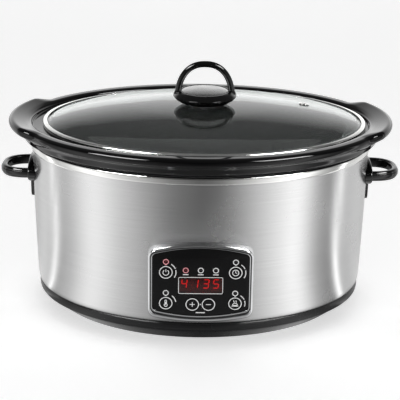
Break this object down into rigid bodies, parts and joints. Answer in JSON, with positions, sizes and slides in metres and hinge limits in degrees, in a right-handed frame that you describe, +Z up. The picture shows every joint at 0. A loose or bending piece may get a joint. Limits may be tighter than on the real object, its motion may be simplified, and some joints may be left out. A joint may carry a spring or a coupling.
{
  "type": "slow cooker",
  "caption": "Oval electric slow cooker with steel housing, lift-out glazed crock, domed glass lid with loop knob, side handles and digital control panel.",
  "frame": {"origin": "centre of the bounding box footprint, on the plane that the feet stand on", "axes": "+X to the right along the long side, -Y to the front where the control panel is, +Z up"},
  "size_m": [0.42, 0.298, 0.2595],
  "materials": {
    "brushed_steel": "horizontally brushed",
    "polished_steel": "polished",
    "chrome_plating": "chrome plated ABS",
    "aluminised_steel": "rolled, dull",
    "zinc_plated_steel": "zinc plated",
    "black_glazed_stoneware": "high-gloss black glaze",
    "black_phenolic": "polished moulding",
    "black_base_plastic": "satin gloss moulding",
    "black_fascia": "gloss overlay",
    "black_button": "gloss overlay",
    "tinted_window": "dark red tint",
    "tempered_glass": "clear",
    "rubber": "matte",
    "silicone": "translucent grey",
    "circuit_board": "green solder mask",
    "red_led": "lit red lens",
    "clear_led": "water clear lens",
    "white_ceramic": "unglazed",
    "mica_heater": "mica and glass cloth wrapped",
    "pan_enamel": "black heat-proof enamel",
    "grey_cable": "PVC"
  },
  "bodies": {
    "base": {"outer_shell": "brushed_steel", "top_rim_ring": "polished_steel", "base_ring": "black_base_plastic", "panel_carrier": "black_base_plastic", "display_module": "black_base_plastic", "relay": "black_base_plastic", "cord_gland": "black_base_plastic", "bottom_plate": "zinc_plated_steel", "pan_bracket": "zinc_plated_steel", "centre_bolt": "zinc_plated_steel", "handle_backing_left": "zinc_plated_steel", "handle_backing_right": "zinc_plated_steel", "heating_pan": "pan_enamel", "heating_band": "mica_heater", "heat_shield": "aluminised_steel", "temperature_sensor": "aluminised_steel", "thermal_fuse": "white_ceramic", "side_handle_left": "black_phenolic", "side_handle_right": "black_phenolic", "panel_bezel": "chrome_plating", "panel_fascia": "black_fascia", "display_window": "tinted_window", "control_board": "circuit_board", "power_board": "circuit_board", "ribbon_cable": "grey_cable", "foot_front_left": "rubber", "foot_screw_front_left": "zinc_plated_steel", "foot_front_right": "rubber", "foot_screw_front_right": "zinc_plated_steel", "foot_back_left": "rubber", "foot_screw_back_left": "zinc_plated_steel", "foot_back_right": "rubber", "foot_screw_back_right": "zinc_plated_steel", "handle_screw_left_front": "zinc_plated_steel", "handle_screw_left_back": "zinc_plated_steel", "handle_screw_right_front": "zinc_plated_steel", "handle_screw_right_back": "zinc_plated_steel", "led_power": "red_led", "led_temperature": "clear_led", "led_high": "red_led", "led_low": "clear_led", "led_warm": "clear_led", "led_delay": "clear_led", "led_keep_warm": "clear_led"},
    "crock": {"crock": "black_glazed_stoneware"},
    "lid": {"lid_glass": "tempered_glass", "lid_rim_band": "polished_steel", "lid_vent_eyelet": "polished_steel", "knob": "black_phenolic", "knob_trim_disc": "polished_steel", "knob_gasket": "silicone", "knob_washer": "zinc_plated_steel", "knob_screw": "zinc_plated_steel"},
    "button_power": {"button_power": "black_button"},
    "button_temperature": {"button_temperature": "black_button"},
    "button_plus": {"button_plus": "black_button"},
    "button_minus": {"button_minus": "black_button"},
    "button_delay": {"button_delay": "black_button"},
    "button_keep_warm": {"button_keep_warm": "black_button"}
  },
  "joints": [
    {"name": "crock_lift", "type": "slide", "parent": "base", "child": "crock", "axis": [0, 0, 1], "range_m": [0, 0.16]},
    {"name": "lid_lift", "type": "slide", "parent": "crock", "child": "lid", "axis": [0, 0, 1], "range_m": [0, 0.1]},
    {"name": "press_power", "type": "slide", "parent": "base", "child": "button_power", "axis": [0, 1, 0], "range_m": [0, 0.0006], "stiffness_N_per_m": 1500, "springref_m": -0.0002},
    {"name": "press_temperature", "type": "slide", "parent": "base", "child": "button_temperature", "axis": [0, 1, 0], "range_m": [0, 0.0006], "stiffness_N_per_m": 1500, "springref_m": -0.0002},
    {"name": "press_plus", "type": "slide", "parent": "base", "child": "button_plus", "axis": [0, 1, 0], "range_m": [0, 0.0006], "stiffness_N_per_m": 1500, "springref_m": -0.0002},
    {"name": "press_minus", "type": "slide", "parent": "base", "child": "button_minus", "axis": [0, 1, 0], "range_m": [0, 0.0006], "stiffness_N_per_m": 1500, "springref_m": -0.0002},
    {"name": "press_delay", "type": "slide", "parent": "base", "child": "button_delay", "axis": [0, 1, 0], "range_m": [0, 0.0006], "stiffness_N_per_m": 1500, "springref_m": -0.0002},
    {"name": "press_keep_warm", "type": "slide", "parent": "base", "child": "button_keep_warm", "axis": [0, 1, 0], "range_m": [0, 0.0006], "stiffness_N_per_m": 1500, "springref_m": -0.0002}
  ]
}
